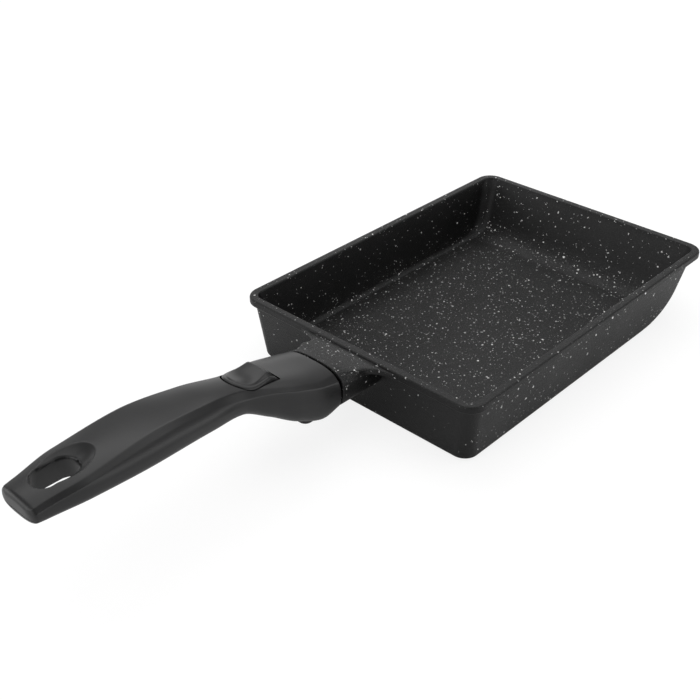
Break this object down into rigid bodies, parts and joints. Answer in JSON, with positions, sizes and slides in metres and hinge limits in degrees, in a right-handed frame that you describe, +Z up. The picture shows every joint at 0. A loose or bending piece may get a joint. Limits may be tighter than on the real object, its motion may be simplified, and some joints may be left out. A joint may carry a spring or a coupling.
{
  "type": "crepe pan",
  "caption": "Rectangular crepe pan with a swept far wall and a flanged stub, and a moulded handle with a sprung release button and a hanging slot.",
  "frame": {"origin": "on the flat underside that the pan rests on, below the middle of the rim", "axes": "+X away from the handle, along the pan's length; +Y across the pan, to the left of someone who holds the handle; +Z up, out of the open top"},
  "size_m": [0.3889, 0.15, 0.0621],
  "materials": {
    "stone_coating": "satin black stone-look non-stick coating on an aluminium casting",
    "black_moulding": "satin black moulding",
    "plated_steel": "zinc-plated",
    "spring_steel": "drawn wire"
  },
  "bodies": {
    "root": {"pan_body": "stone_coating", "handle_body": "black_moulding", "socket_frame": "plated_steel", "frame_screw": "plated_steel", "screw_washer": "plated_steel", "latch_pin": "plated_steel", "latch_spring": "spring_steel"},
    "release_latch": {"release_button": "black_moulding", "latch_lever": "plated_steel"}
  },
  "joints": [
    {"name": "release_press", "type": "hinge", "parent": "root", "child": "release_latch", "pos_m": [-0.15698, 0, 0.04458], "axis": [0, -1, 0], "range_deg": [0, 6], "stiffness_Nm_per_rad": 0.115, "springref_deg": -9.17, "deforming": ["latch_spring"]}
  ]
}
